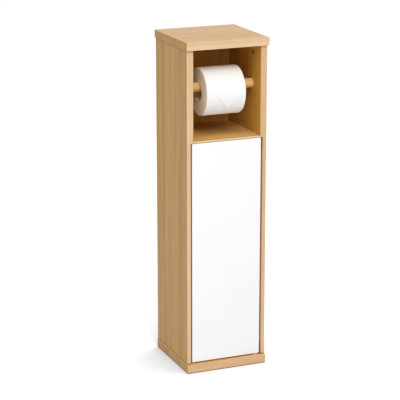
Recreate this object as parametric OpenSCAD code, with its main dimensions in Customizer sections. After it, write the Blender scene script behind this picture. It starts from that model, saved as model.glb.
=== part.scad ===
// Toilet roll storage cabinet: a slim free-standing cabinet of wood-effect boards. An open niche at the
// top carries one roll on a wooden rod, and a white push-to-open door closes the cupboard below it.
// X runs to the right, Y to the back and Z up. The origin is on the floor, under the cabinet's middle.

/* [Carcass] */
// Width over the two side panels
body_w = 200; // [196:1:240]
// Depth of the base board, front to back
board_d = 200; // [192:1:250]
// Height from the floor to the top
total_h = 795; // [720:5:900]
// Thickness of the side panels
side_t = 16; // [15:0.5:18]
// Thickness of the top board
top_t = 19; // [16:0.5:25]
// Thickness of the base board
base_t = 22; // [18:0.5:28]
// Thickness of the fixed shelf under the niche
shelf_t = 16; // [15:0.5:18]
// How far the base stands out past each side panel
side_over = 1; // [0.5:0.5:8]
// How far the base stands out past the front of the side panels
front_over = 5; // [2:0.5:12]
// How far the top board stands out past the base board, all round
top_reach = 1.5; // [0:0.5:6]
// Small bevel along the boards' edges
edge_ease = 0.8; // [0.3:0.1:1.2]

/* [Niche] */
// Clear height of the open niche
niche_h = 212; // [200:1:240]
// Height of the shelf's lip that shows above the door
shelf_lip = 4; // [3:0.5:6]
// Thickness of the back panel
back_t = 3; // [2.5:0.5:5]
// Distance of the back panel from the rear edges of the sides
back_inset = 8; // [6:0.5:12]
// Depth of the groove that holds the back panel
groove_d = 5; // [3:0.5:6]

/* [Door] */
// Thickness of the door
door_t = 16; // [15:0.5:18]
// How far the door's face lies behind the front of the side panels
door_recess = 1; // [0:0.5:3]
// Gap between the door and the rebate at each side
door_gap_side = 3.5; // [3:0.5:4]
// Gap above the door
door_gap_top = 1; // [1:0.5:4]
// Gap below the door
door_gap_bottom = 3; // [1:0.5:5]
// Width of the rebate that the door closes into
rebate_w = 6.5; // [4:0.5:7]
// Room behind the closed door, to press it in for opening
push_travel = 3.5; // [3.5:0.5:6]
// Bevel round the door's edges
door_ease = 1; // [0.5:0.1:1.5]

/* [Pivot hinges] */
// Distance of the pivot from the door's right edge
pivot_in = 8; // [7.5:0.5:10]
// Distance of the pivot behind the door's face
pivot_back = 7; // [6.5:0.5:7]
// Diameter of the pivot pin
pin_d = 4; // [3:0.5:5]
// Length of the pin below its plate
pin_len = 13; // [10:1:18]
// Thickness of the steel angle plate
leaf_t = 1.6; // [1.2:0.1:1.8]
// Width of the steel angle plate
leaf_w = 11; // [9:0.5:12]
// Height of the plate's upright leg
leaf_h = 30; // [26:1:40]
// Outer diameter of the plastic bush in the door
bush_d = 8; // [7:0.5:9]
// Length of the bush inside the door
bush_len = 12; // [9:1:18]
// Diameter of the collar on the bush
collar_d = 10.5; // [9.5:0.5:12]
// Radial clearance of the pin in the bush
pin_play = 0.06; // [0.02:0.01:0.1]
// Clearance between the collar and the plate
collar_play = 0.15; // [0.05:0.05:0.3]

/* [Push latch] */
// Width of the latch housing, out from the side panel
latch_w = 18; // [16:0.5:22]
// Height of the latch housing
latch_h = 16; // [14:0.5:20]
// Length of the latch housing, front to back
latch_l = 48; // [44:1:60]
// Distance of the housing behind the door
latch_back = 6; // [5:0.5:10]
// Distance of the latch's axis below the niche shelf
latch_drop = 28; // [20:1:60]
// Diameter of the plunger
plunger_d = 8; // [7:0.5:9]
// Length of the plunger
plunger_len = 34; // [30:1:36]
// Radial clearance of the plunger in its bore
plunger_play = 0.1; // [0.05:0.01:0.1]
// Diameter of the steel strike plate on the door
strike_d = 14; // [12:0.5:16]
// Thickness of the strike plate
strike_t = 1.2; // [1:0.1:2]
// Diameter of the magnet in the plunger's tip
magnet_d = 6; // [4:0.5:6]
// Thickness of the magnet
magnet_t = 3; // [2:0.5:4]
// Diameter of the latch spring over its wire
spring_d = 6.6; // [5.5:0.1:6.8]
// Diameter of the spring's wire
spring_wire = 0.8; // [0.5:0.1:0.9]
// Turns of the spring
spring_turns = 7; // [5:1:8]

/* [Roll and rod] */
// Diameter of the wooden rod
rod_d = 23; // [18:0.5:26]
// Distance of the rod's axis behind the front of the side panels
rod_in = 53; // [52:0.5:75]
// Distance of the rod's axis below the top board
rod_drop = 96; // [80:1:110]
// Depth of the left socket, which the rod's end can leave
socket_left = 5; // [4:0.5:6]
// Depth of the right socket, into which the rod slides
socket_right = 12; // [11:0.5:12.5]
// Radial clearance of the rod in its sockets
rod_play = 0.1; // [0.05:0.01:0.1]
// How much wider the sockets are above the rod, so that it can be tilted out
socket_room = 0.8; // [0:0.1:1.5]
// Gap at each socket's end, and of the roll on the rod
rest_play = 0.25; // [0.2:0.05:0.3]
// Diameter of the paper roll
roll_d = 113; // [95:1:114]
// Width of the paper roll
roll_w = 98; // [90:1:110]
// Place of the roll along the rod, to the right of the middle
roll_shift = -2.5; // [-15:0.5:15]
// Inner diameter of the cardboard core
core_d = 46; // [38:0.5:50]
// Wall of the cardboard core
core_t = 1; // [0.8:0.1:2]
// Thickness of the paper's folded end
tail_t = 0.7; // [0.5:0.1:1]
// Slope of the folded point's two sides
tail_angle = 45; // [30:1:60]
// Distance of the point's tip below the roll's axis
tail_drop = 32; // [10:1:45]
// Distance of the point's tip to the right of the roll's middle
tail_right = 5; // [-20:1:20]

/* [Inner shelf] */
// Clear height below the loose shelf in the cupboard
inner_shelf_h = 255; // [160:1:300]
// Thickness of the loose shelf
inner_shelf_t = 16; // [12:0.5:19]
// Distance of the loose shelf behind the door's rebate
inner_shelf_set = 4; // [2:0.5:20]
// Gap at each end of the loose shelf
inner_shelf_play = 0.5; // [0.2:0.1:1]
// Diameter of the shelf pins
peg_d = 5; // [4:0.5:6]
// Depth of the holes for the shelf pins
peg_in = 8; // [7:0.5:9]
// How far a pin stands out
peg_out = 8; // [6:0.5:12]
// Distance between the rows of pin holes
peg_pitch = 32; // [25:1:40]

/* [Fittings] */
// Diameter of the cam locks
cam_d = 10; // [10:0.5:15]
// Depth of the pocket for a cam lock
cam_pocket_d = 12.5; // [12:0.1:12.8]
// Distance of a cam's centre from the joint
cam_back = 22.5; // [22:0.5:30]
// Distance of the first row of fittings from the front of the sides, and of the last from the rear
row_in = 45; // [36:1:50]
// Distance of a dowel from the nearest cam
dowel_step = 32; // [24:1:34]
// Diameter of the cam bolt's thread
bolt_thread_d = 5.8; // [5:0.1:6.5]
// Length of the cam bolt's thread
bolt_thread_l = 11; // [9:0.5:11]
// Diameter of the cam bolt's shank
bolt_shank_d = 6.4; // [5:0.1:6.5]
// Diameter of the cam bolt's head
bolt_head_d = 6; // [5:0.1:6]
// Diameter of the dowels
dowel_d = 8; // [6:1:8]
// Length of a dowel in the face of a board
dowel_face = 11; // [9:0.5:12]
// Length of a dowel in the edge of a board
dowel_edge = 19; // [15:0.5:24]
// Diameter of the small screws
screw_d = 3; // [2.5:0.1:3.5]
// Diameter of their heads
screw_head_d = 5.8; // [5:0.1:6.5]
// Length of the hinge and latch screws in the wood
screw_in = 7; // [5:0.5:7]

/* [Hidden] */
$fn = 64;

wood = [0.84, 0.66, 0.45];
wood_shade = [0.72, 0.53, 0.33];
rod_wood = [0.85, 0.66, 0.42];
white = [0.96, 0.96, 0.95];
steel = [0.72, 0.73, 0.75];
zinc = [0.60, 0.61, 0.62];
nylon = [0.90, 0.90, 0.88];

// The front of the side panels, the rear of all boards and the planes between
front_y = -board_d / 2 + front_over;
rear_y = board_d / 2;
half_w = body_w / 2;
top_x = half_w + side_over + top_reach;
top_y = board_d / 2 + top_reach;
inner_x = half_w - side_t;
panel_mid_x = half_w - side_t / 2;
top_z = total_h - top_t;
shelf_top_z = top_z - niche_h;
shelf_low_z = shelf_top_z - shelf_t;
shelf_mid_z = shelf_top_z - shelf_t / 2;
ceiling_z = shelf_top_z - shelf_lip;

// The rebate round the door, and the door in it
rebate_x = inner_x + rebate_w;
rebate_y = front_y + door_recess + door_t + push_travel;
door_x = rebate_x - door_gap_side;
door_low_z = base_t + door_gap_bottom;
door_high_z = ceiling_z - door_gap_top;
door_front_y = front_y + door_recess;
door_rear_y = door_front_y + door_t;
pivot_x = door_x - pivot_in;
pivot_y = door_front_y + pivot_back;

// The back panel in its grooves
back_play = 0.1;
back_y = rear_y - back_inset - back_t;

// How far a cut runs past the face that it starts from, the room at the end of a blind hole, and
// how far two cuts of one hole run into each other
cut = 1;
hole_end = 0.3;
joined = 0.01;

// Rows of fittings
front_row = front_y + row_in;
rear_row = rear_y - row_in;
front_dowel = front_row + dowel_step;
rear_dowel = rear_row - dowel_step;
cam_play = 0.1;
cam_sink = 0.4;
throat_play = 0.3;
shank_play = 0.2;
cross_w = 1.4;
cross_l = 6;
cross_d = 3;
bolt_play = 0.05;
bolt_shank_end = 14.5;
bolt_neck_d = 3.6;
bolt_head_l = 3;
bolt_head_gap = 1.2;
bolt_tip = 1;
dowel_tip = 1;

// The pivot hinges: the press fit of the pin in its plate, and the plate's two screws
pin_fit = 0.02;
pin_tip = 0.6;
screw_from_end = 6;
screw_pitch = 12;

// The latch on the left panel
latch_x = -inner_x + latch_w / 2;
latch_z = shelf_low_z - latch_drop;
latch_front_y = door_rear_y + latch_back;
latch_wall = 4;
latch_ease = 1;
ear_t = 2;
ear_l = 12;
ear_h = 7.5;
strike_gap = 0.2;
tip_y = door_rear_y + strike_t + strike_gap;
magnet_proud = 0.3;
bore_end_y = latch_front_y + latch_l - latch_wall;
plunger_rear_y = tip_y + magnet_proud + plunger_len;
plunger_tip = 0.6;
spring_seat = 0.15;

// The rod and the roll that hangs on it
rod_y = front_y + rod_in;
rod_z = top_z - rod_drop;
rod_chamfer = 1;
roll_y = rod_y;
roll_z = rod_z - (core_d - rod_d) / 2 + rest_play;
roll_edge = 1.5;

// The loose shelf and its pins
shelf_rear_play = 1;

peg_z = base_t + inner_shelf_h - peg_d / 2;
peg_play = 0.05;
peg_tip = 0.8;
peg_rows = [-2, -1, 0, 1, 2];

// A block between two corners with a small bevel along all its edges
module eased_block(low, high, ease) {
  size = high - low;
  translate(low) intersection() {
    linear_extrude(size.z) eased_rect(size.x, size.y, ease);
    translate([0, size.y, 0]) rotate([90, 0, 0]) linear_extrude(size.y) eased_rect(size.x, size.z, ease);
    rotate([90, 0, 90]) linear_extrude(size.x) eased_rect(size.y, size.z, ease);
  }
}

module eased_rect(w, h, ease) {
  polygon([
    [ease, 0], [w - ease, 0], [w, ease], [w, h - ease],
    [w - ease, h], [ease, h], [0, h - ease], [0, ease]
  ]);
}

// A block between two corners
module block(low, high) {
  translate(low) cube(high - low);
}

// Joint frames. In each, +Z runs from the joint into the board that holds the cam, and +X
// points to the face that the cam is let into.
module at_top_joint(y) {
  translate([panel_mid_x, y, top_z]) rotate([0, 180, 0]) children();
}

module at_base_joint(y) {
  translate([panel_mid_x, y, base_t]) mirror([1, 0, 0]) children();
}

module at_shelf_joint(y) {
  translate([inner_x, y, shelf_mid_z]) mirror([1, 0, 0]) rotate([0, 90, 0]) children();
}

module both_sides() {
  children();
  mirror([1, 0, 0]) children();
}

// One cam lock: a zinc disc with a cross slot in its face and a throat for the bolt's head
module cam_lock(half_t) {
  floor_x = half_t - cam_pocket_d + cam_play;
  face_x = half_t - cam_sink;
  difference() {
    translate([floor_x, 0, cam_back]) rotate([0, 90, 0])
      cylinder(d = cam_d - 2 * cam_play, h = face_x - floor_x);
    cylinder(d = bolt_head_d + 2 * throat_play, h = cam_back + bolt_head_l);
    translate([face_x, 0, cam_back]) {
      cube([2 * cross_d, cross_w, cross_l], center = true);
      cube([2 * cross_d, cross_l, cross_w], center = true);
    }
  }
}

module cam_pocket(half_t) {
  translate([half_t - cam_pocket_d, 0, cam_back]) rotate([0, 90, 0])
    cylinder(d = cam_d, h = cam_pocket_d + cut);
  cylinder(d = bolt_shank_d + 2 * shank_play, h = cam_back);
}

// One cam bolt: its thread is in the mating board, its head in the cam
module cam_bolt() {
  head_top = cam_back + bolt_head_l - bolt_head_gap;
  head_low = head_top - bolt_head_l;
  rotate_extrude() polygon([
    [0, -bolt_thread_l], [bolt_thread_d / 2 - bolt_tip, -bolt_thread_l],
    [bolt_thread_d / 2, -bolt_thread_l + bolt_tip], [bolt_thread_d / 2, 0], [bolt_shank_d / 2, 0],
    [bolt_shank_d / 2, bolt_shank_end], [bolt_neck_d / 2, bolt_shank_end], [bolt_neck_d / 2, head_low],
    [bolt_head_d / 2, head_low], [bolt_head_d / 2, head_top], [0, head_top]
  ]);
}

module bolt_hole() {
  depth = bolt_thread_l + hole_end;
  translate([0, 0, -depth]) cylinder(d = bolt_thread_d + 2 * bolt_play, h = depth + cut);
}

// One dowel, a little longer in the edge of the board than in the face
module dowel() {
  r = dowel_d / 2;
  rotate_extrude() polygon([
    [0, -dowel_face], [r - dowel_tip, -dowel_face], [r, -dowel_face + dowel_tip],
    [r, dowel_edge - dowel_tip], [r - dowel_tip, dowel_edge], [0, dowel_edge]
  ]);
}

module dowel_hole_edge() {
  translate([0, 0, -cut]) cylinder(d = dowel_d + 2 * bolt_play, h = dowel_edge + hole_end + cut);
}

module dowel_hole_face() {
  depth = dowel_face + hole_end;
  translate([0, 0, -depth]) cylinder(d = dowel_d + 2 * bolt_play, h = depth + cut);
}

// A countersunk screw along +Z: its head lies in a plate of the given thickness, flush at z = 0
module flat_screw(plate_t, length) {
  cylinder(d1 = screw_head_d, d2 = screw_d, h = plate_t);
  translate([0, 0, plate_t]) cylinder(d = screw_d, h = length);
}

module flat_screw_hole(plate_t, length) {
  play = 2 * bolt_play;
  cylinder(d1 = screw_head_d + play, d2 = screw_d + play, h = plate_t);
  translate([0, 0, plate_t - joined]) cylinder(d = screw_d + play, h = length + hole_end + joined);
}

module back_groove() {
  block(
    [-inner_x - groove_d, back_y - back_play, base_t - groove_d],
    [inner_x + groove_d, back_y + back_t + back_play, top_z + groove_d]
  );
}

module top_board() {
  color(wood) difference() {
    eased_block([-top_x, -top_y, top_z], [top_x, top_y, total_h], edge_ease);
    back_groove();
    both_sides() {
      for (y = [front_row, rear_row]) at_top_joint(y) bolt_hole();
      for (y = [front_dowel, rear_dowel]) at_top_joint(y) dowel_hole_face();
    }
  }
}

module base_board() {
  color(wood) difference() {
    eased_block([-half_w - side_over, -board_d / 2, 0], [half_w + side_over, rear_y, base_t], edge_ease);
    back_groove();
    both_sides() {
      for (y = [front_row, rear_row]) at_base_joint(y) bolt_hole();
      for (y = [front_dowel, rear_dowel]) at_base_joint(y) dowel_hole_face();
    }
    at_hinge(false) plate_pocket();
  }
}

// The right side panel before the holes that only one side has. The left one is its mirror image.
module side_blank() {
  e = edge_ease;
  difference() {
    translate([0, 0, base_t]) linear_extrude(top_z - base_t) polygon([
      [inner_x, front_y + e], [inner_x + e, front_y], [half_w - e, front_y], [half_w, front_y + e],
      [half_w, rear_y - e], [half_w - e, rear_y], [inner_x, rear_y]
    ]);
    // The rebate round the door, its front edge eased like the panel's own
    translate([0, 0, base_t - cut]) linear_extrude(ceiling_z - base_t + cut) polygon([
      [inner_x - cut, front_y - cut], [rebate_x + e + cut, front_y - cut], [rebate_x, front_y + e],
      [rebate_x, rebate_y], [inner_x - cut, rebate_y]
    ]);
    back_groove();
    for (y = [front_row, rear_row]) {
      at_top_joint(y) cam_pocket(side_t / 2);
      at_base_joint(y) cam_pocket(side_t / 2);
      at_shelf_joint(y) bolt_hole();
    }
    for (y = [front_dowel, rear_dowel]) {
      at_top_joint(y) dowel_hole_edge();
      at_base_joint(y) dowel_hole_edge();
      at_shelf_joint(y) dowel_hole_face();
    }
    for (y = [front_row, rear_row], i = peg_rows) {
      translate([inner_x - cut, y, peg_z + i * peg_pitch]) rotate([0, 90, 0])
        cylinder(d = peg_d + 2 * peg_play, h = peg_in + hole_end + cut);
    }
  }
}

// A blind hole for the rod's end. The rod lies at its bottom, with the room above it.
module rod_socket(depth) {
  translate([inner_x - cut, rod_y, rod_z + socket_room]) rotate([0, 90, 0])
    cylinder(d = rod_d + 2 * (rod_play + socket_room), h = depth + cut);
}

module left_side_panel() {
  color(wood) difference() {
    mirror([1, 0, 0]) side_blank();
    mirror([1, 0, 0]) rod_socket(socket_left);
    latch_screw_places() flat_screw_hole(ear_t, screw_in);
  }
}

module right_side_panel() {
  color(wood) difference() {
    side_blank();
    rod_socket(socket_right);
    for (upper = [false, true]) at_hinge(upper) {
      plate_pocket();
      hinge_screw_places() flat_screw_hole(leaf_t, screw_in);
    }
  }
}

// The fixed shelf: the underside of its front edge is rebated, so only a thin lip shows above the door
module niche_shelf() {
  e = min(edge_ease, shelf_lip / 4);
  shelf_rear_y = back_y - back_play;
  color(wood) difference() {
    rotate([90, 0, 90]) translate([0, 0, -inner_x]) linear_extrude(2 * inner_x) polygon([
      [rebate_y, shelf_low_z], [shelf_rear_y, shelf_low_z], [shelf_rear_y, shelf_top_z],
      [front_y + e, shelf_top_z], [front_y, shelf_top_z - e], [front_y, ceiling_z + e],
      [front_y + e, ceiling_z], [rebate_y, ceiling_z]
    ]);
    both_sides() {
      for (y = [front_row, rear_row]) at_shelf_joint(y) cam_pocket(shelf_t / 2);
      for (y = [front_dowel, rear_dowel]) at_shelf_joint(y) dowel_hole_edge();
    }
    at_hinge(true) plate_pocket();
  }
}

module back_panel() {
  color(wood_shade) block(
    [-inner_x - groove_d + back_play, back_y, base_t - groove_d + back_play],
    [inner_x + groove_d - back_play, back_y + back_t, top_z + groove_d - back_play]
  );
}

module inner_shelf() {
  x = inner_x - inner_shelf_play;
  z = base_t + inner_shelf_h;
  color(wood) eased_block(
    [-x, rebate_y + inner_shelf_set, z], [x, back_y - shelf_rear_play, z + inner_shelf_t], edge_ease
  );
}

module shelf_pegs() {
  r = peg_d / 2;
  length = peg_in + peg_out;
  color(steel) both_sides() for (y = [front_row, rear_row])
    translate([inner_x - peg_out, y, peg_z]) rotate([0, 90, 0]) rotate_extrude() polygon([
      [0, 0], [r - peg_tip, 0], [r, peg_tip], [r, length - peg_tip], [r - peg_tip, length], [0, length]
    ]);
}

module cam_locks() {
  color(zinc) both_sides() for (y = [front_row, rear_row]) {
    at_top_joint(y) cam_lock(side_t / 2);
    at_base_joint(y) cam_lock(side_t / 2);
    at_shelf_joint(y) cam_lock(shelf_t / 2);
  }
}

module cam_bolts() {
  color(steel) both_sides() for (y = [front_row, rear_row]) {
    at_top_joint(y) cam_bolt();
    at_base_joint(y) cam_bolt();
    at_shelf_joint(y) cam_bolt();
  }
}

module wooden_dowels() {
  color(rod_wood) both_sides() for (y = [front_dowel, rear_dowel]) {
    at_top_joint(y) dowel();
    at_base_joint(y) dowel();
    at_shelf_joint(y) dowel();
  }
}

// The hinge frames: the plate's outer face at z = 0 and the door's pin along -Z, at the door's top
// edge and, turned over, at its bottom edge. The plates are let in flush. Y is measured from the pivot.
module at_hinge(upper) {
  if (upper) translate([0, pivot_y, ceiling_z + leaf_t]) children();
  else translate([0, pivot_y, base_t - leaf_t]) mirror([0, 0, 1]) children();
}

module hinge_screw_places() {
  for (z = [screw_from_end, screw_from_end + screw_pitch])
    translate([rebate_x, 0, z - leaf_h]) rotate([0, 90, 0]) children();
}

// The pocket for both legs of an angle plate, open towards the door
module plate_pocket() {
  block([rebate_x - cut, -leaf_w / 2, -leaf_h], [rebate_x + leaf_t, leaf_w / 2, 0]);
  block([pivot_x, -leaf_w / 2, -leaf_t - cut], [rebate_x, leaf_w / 2, 0]);
  translate([pivot_x, 0, -leaf_t - cut]) cylinder(d = leaf_w, h = leaf_t + cut);
}

// An angle plate: one leg is let into the wall of the rebate, the other reaches over the door's edge
module hinge_plate() {
  difference() {
    union() {
      block([rebate_x, -leaf_w / 2, -leaf_h], [rebate_x + leaf_t, leaf_w / 2, 0]);
      block([pivot_x, -leaf_w / 2, -leaf_t], [rebate_x + leaf_t, leaf_w / 2, 0]);
      translate([pivot_x, 0, -leaf_t]) cylinder(d = leaf_w, h = leaf_t);
    }
    translate([pivot_x, 0, -leaf_t - cut]) cylinder(d = pin_d + 2 * pin_fit, h = leaf_t + 2 * cut);
    hinge_screw_places() flat_screw_hole(leaf_t, cut);
  }
}

module upper_hinge_plate() {
  color(steel) at_hinge(true) hinge_plate();
}

module lower_hinge_plate() {
  color(steel) at_hinge(false) hinge_plate();
}

module hinge_pins() {
  r = pin_d / 2;
  color(steel) for (upper = [false, true]) at_hinge(upper)
    translate([pivot_x, 0, -pin_len]) rotate_extrude() polygon([
      [0, 0], [r - pin_tip, 0], [r, pin_tip], [r, pin_len], [0, pin_len]
    ]);
}

module hinge_screws() {
  color(steel) for (upper = [false, true]) at_hinge(upper)
    hinge_screw_places() flat_screw(leaf_t, screw_in);
}

// A plastic bush pressed into the door's edge, which lies a gap off the plate. Its collar carries the door.
module hinge_bush(gap) {
  collar_t = gap - collar_play;
  translate([pivot_x, 0, -leaf_t - gap]) difference() {
    union() {
      translate([0, 0, -bush_len]) cylinder(d = bush_d, h = bush_len);
      cylinder(d = collar_d, h = collar_t);
    }
    translate([0, 0, -bush_len - cut]) cylinder(d = pin_d + 2 * pin_play, h = bush_len + collar_t + 2 * cut);
  }
}

module bush_hole(gap) {
  depth = max(bush_len, pin_len - leaf_t - gap) + hole_end;
  translate([pivot_x, 0, -leaf_t - gap - depth]) cylinder(d = bush_d + 2 * bolt_play, h = depth + cut);
}

module upper_hinge_bush() {
  color(nylon) at_hinge(true) hinge_bush(door_gap_top);
}

module lower_hinge_bush() {
  color(nylon) at_hinge(false) hinge_bush(door_gap_bottom);
}

module door_panel() {
  color(white) difference() {
    eased_block([-door_x, door_front_y, door_low_z], [door_x, door_rear_y, door_high_z], door_ease);
    at_hinge(true) bush_hole(door_gap_top);
    at_hinge(false) bush_hole(door_gap_bottom);
    at_strike() flat_screw_hole(strike_t, screw_in);
  }
}

// The strike plate's outer face at z = 0, with +Z into the door
module at_strike() {
  translate([latch_x, door_rear_y + strike_t, latch_z]) rotate([90, 0, 0]) children();
}

module strike_plate() {
  color(steel) at_strike() difference() {
    cylinder(d = strike_d, h = strike_t);
    flat_screw_hole(strike_t, cut);
  }
}

module strike_screw() {
  color(steel) at_strike() flat_screw(strike_t, screw_in);
}

module latch_screw_places() {
  ear_y = latch_front_y + latch_l / 2;
  for (side = [-1, 1]) translate([-inner_x + ear_t, ear_y, latch_z + side * (latch_h + ear_h) / 2])
    rotate([0, -90, 0]) children();
}

// The housing: a bored block with an ear above and below it, screwed to the left side panel
module latch_housing() {
  ear_y = latch_front_y + latch_l / 2;
  ear_z = latch_h / 2 + ear_h;
  color(nylon) difference() {
    union() {
      eased_block(
        [-inner_x, latch_front_y, latch_z - latch_h / 2],
        [-inner_x + latch_w, latch_front_y + latch_l, latch_z + latch_h / 2], latch_ease
      );
      block(
        [-inner_x, ear_y - ear_l / 2, latch_z - ear_z],
        [-inner_x + ear_t, ear_y + ear_l / 2, latch_z + ear_z]
      );
    }
    translate([latch_x, latch_front_y - cut, latch_z]) rotate([-90, 0, 0])
      cylinder(d = plunger_d + 2 * plunger_play, h = bore_end_y - latch_front_y + cut);
    latch_screw_places() flat_screw_hole(ear_t, cut);
  }
}

module latch_screws() {
  color(steel) latch_screw_places() flat_screw(ear_t, screw_in);
}

module latch_plunger() {
  r = plunger_d / 2;
  tip = plunger_tip;
  color(white) translate([latch_x, tip_y + magnet_proud, latch_z]) rotate([-90, 0, 0]) difference() {
    rotate_extrude() polygon([
      [0, 0], [r - tip, 0], [r, tip], [r, plunger_len - tip], [r - tip, plunger_len], [0, plunger_len]
    ]);
    translate([0, 0, -cut]) cylinder(d = magnet_d + 2 * bolt_play, h = magnet_t - magnet_proud + cut);
  }
}

module plunger_magnet() {
  color(zinc) translate([latch_x, tip_y, latch_z]) rotate([-90, 0, 0]) cylinder(d = magnet_d, h = magnet_t);
}

// The spring behind the plunger: one wire wound in a helix, swept ring by ring
spring_steps = 8;
spring_sides = 6;
spring_r = (spring_d - spring_wire) / 2;
spring_low_y = plunger_rear_y + spring_wire / 2 + spring_seat;
spring_high_y = bore_end_y - spring_wire / 2 - spring_seat;
spring_rings = spring_turns * spring_steps;

function spring_point(i) =
  let (a = 360 * i / spring_steps, y = spring_low_y + i / spring_rings * (spring_high_y - spring_low_y))
  [latch_x + spring_r * cos(a), y, latch_z + spring_r * sin(a)];

function spring_ring(i) =
  let (a = 360 * i / spring_steps, centre = spring_point(i), out = [cos(a), 0, sin(a)])
  [for (k = [0 : spring_sides - 1])
    let (b = 360 * k / spring_sides)
    centre + spring_wire / 2 * (cos(b) * out + sin(b) * [0, 1, 0])];

module latch_spring() {
  points = [for (i = [0 : spring_rings]) each spring_ring(i)];
  walls = [for (i = [0 : spring_rings - 1], k = [0 : spring_sides - 1])
    let (a = i * spring_sides + k, b = i * spring_sides + (k + 1) % spring_sides)
    each [[a, a + spring_sides, b], [b, a + spring_sides, b + spring_sides]]];
  first = [[for (k = [0 : spring_sides - 1]) k]];
  last = [[for (k = [spring_sides - 1 : -1 : 0]) spring_rings * spring_sides + k]];
  color(steel) polyhedron(points, concat(walls, first, last));
}

module roll_rod() {
  r = rod_d / 2;
  c = rod_chamfer;
  left = -inner_x - socket_left + rest_play;
  length = 2 * (inner_x + socket_left - rest_play);
  color(rod_wood) translate([left, rod_y, rod_z]) rotate([0, 90, 0]) rotate_extrude() polygon([
    [0, 0], [r - c, 0], [r, c], [r, length - c], [r - c, length], [0, length]
  ]);
}

module along_roll() {
  translate([roll_shift - roll_w / 2, roll_y, roll_z]) rotate([0, 90, 0]) children();
}

module roll_core() {
  color([0.70, 0.60, 0.48]) along_roll() difference() {
    cylinder(d = core_d + 2 * core_t, h = roll_w);
    translate([0, 0, -cut]) cylinder(d = core_d, h = roll_w + 2 * cut);
  }
}

// The wound paper, with its loose end folded to a point that hangs over the front of the roll
module paper_roll() {
  r = roll_d / 2;
  core_r = core_d / 2 + core_t;
  e = roll_edge;
  left_rise = (roll_w + tail_right) * tan(tail_angle) - tail_drop;
  right_rise = (roll_w - tail_right) * tan(tail_angle) - tail_drop;
  above = max(roll_d, left_rise, right_rise);
  color(white) {
    along_roll() rotate_extrude() polygon([
      [core_r, 0], [r - e, 0], [r, e], [r, roll_w - e], [r - e, roll_w], [core_r, roll_w]
    ]);
    intersection() {
      translate([-e, 0, 0]) along_roll() translate([0, 0, 2 * e]) difference() {
        cylinder(r = r + tail_t, h = roll_w - 2 * e);
        translate([0, 0, -cut]) cylinder(r = r, h = roll_w + 2 * cut);
      }
      translate([roll_shift, roll_y, roll_z]) rotate([90, 0, 0]) linear_extrude(roll_d) polygon([
        [-roll_w, above + cut], [-roll_w, left_rise], [tail_right, -tail_drop],
        [roll_w, right_rise], [roll_w, above + cut]
      ]);
    }
  }
}

top_board();
base_board();
left_side_panel();
right_side_panel();
niche_shelf();
back_panel();
inner_shelf();
shelf_pegs();
cam_locks();
cam_bolts();
wooden_dowels();
upper_hinge_plate();
lower_hinge_plate();
hinge_pins();
hinge_screws();
latch_housing();
latch_spring();
latch_screws();
latch_plunger();
plunger_magnet();
door_panel();
upper_hinge_bush();
lower_hinge_bush();
strike_plate();
strike_screw();
roll_rod();
roll_core();
paper_roll();
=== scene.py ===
import math
import random

import bmesh
import bpy
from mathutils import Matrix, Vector


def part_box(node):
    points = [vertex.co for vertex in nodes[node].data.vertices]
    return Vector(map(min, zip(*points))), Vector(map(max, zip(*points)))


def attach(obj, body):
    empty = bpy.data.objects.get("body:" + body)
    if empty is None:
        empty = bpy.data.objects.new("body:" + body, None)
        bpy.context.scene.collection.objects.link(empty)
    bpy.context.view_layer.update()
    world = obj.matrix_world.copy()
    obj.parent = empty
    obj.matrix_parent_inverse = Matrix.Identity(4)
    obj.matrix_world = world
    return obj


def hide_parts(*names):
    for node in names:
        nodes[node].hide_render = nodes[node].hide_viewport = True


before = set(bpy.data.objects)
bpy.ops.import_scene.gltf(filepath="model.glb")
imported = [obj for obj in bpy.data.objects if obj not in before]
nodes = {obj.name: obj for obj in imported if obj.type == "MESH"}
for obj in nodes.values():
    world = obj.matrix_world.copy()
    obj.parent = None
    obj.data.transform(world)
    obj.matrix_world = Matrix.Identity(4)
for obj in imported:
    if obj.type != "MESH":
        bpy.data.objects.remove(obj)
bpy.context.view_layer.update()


# ---- Camera ----
# It stands in front of the cabinet, to the left and above its top, and looks down on it with a long
# lens, so the front, the left side and the top board are seen together.
camera_place = Vector((-1.441, -3.402, 1.415))
camera_right = math.radians(22.55)
camera_down = math.radians(15.46)
sensor_mm = 36.0
lens_mm = 144.4
sight_end = 50.0

camera_data = bpy.data.cameras.new("camera")
camera_data.sensor_width = sensor_mm
camera_data.lens = lens_mm
camera_data.clip_end = sight_end
camera = bpy.data.objects.new("camera", camera_data)
bpy.context.scene.collection.objects.link(camera)
camera.location = camera_place
looking = Vector((
    math.sin(camera_right) * math.cos(camera_down),
    math.cos(camera_right) * math.cos(camera_down),
    -math.sin(camera_down),
))
camera.rotation_euler = looking.to_track_quat("-Z", "Y").to_euler()
bpy.context.scene.camera = camera


# ---- Studio: world, floor and lamp ----
# A plain bright room: an even pale sky, a large soft lamp in front and above, and a white floor that
# keeps the cabinet's soft shadow. The camera, gloss and glass see the background as white.
bpy.context.scene.view_settings.view_transform = "Standard"
full_white = (1.0, 1.0, 1.0, 1.0)
sky_strength = 0.75
backdrop_strength = 1.0
floor_size = 30.0
floor_grey = (0.80, 0.80, 0.80, 1.0)
floor_seen = (1.30, 1.30, 1.30, 1.0)
contact_shade = (0.741, 0.8385, 0.910, 1.0)
contact_reach = 0.32
contact_closed = 0.20
contact_open = 0.92
contact_side = (0.60, 0.15, 0.80)
lamp_size = 1.8
lamp_watts = 69.0
lamp_place = Vector((-0.60, -2.60, 3.30))
lamp_aim = Vector((0.0, 0.0, 0.42))

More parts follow.
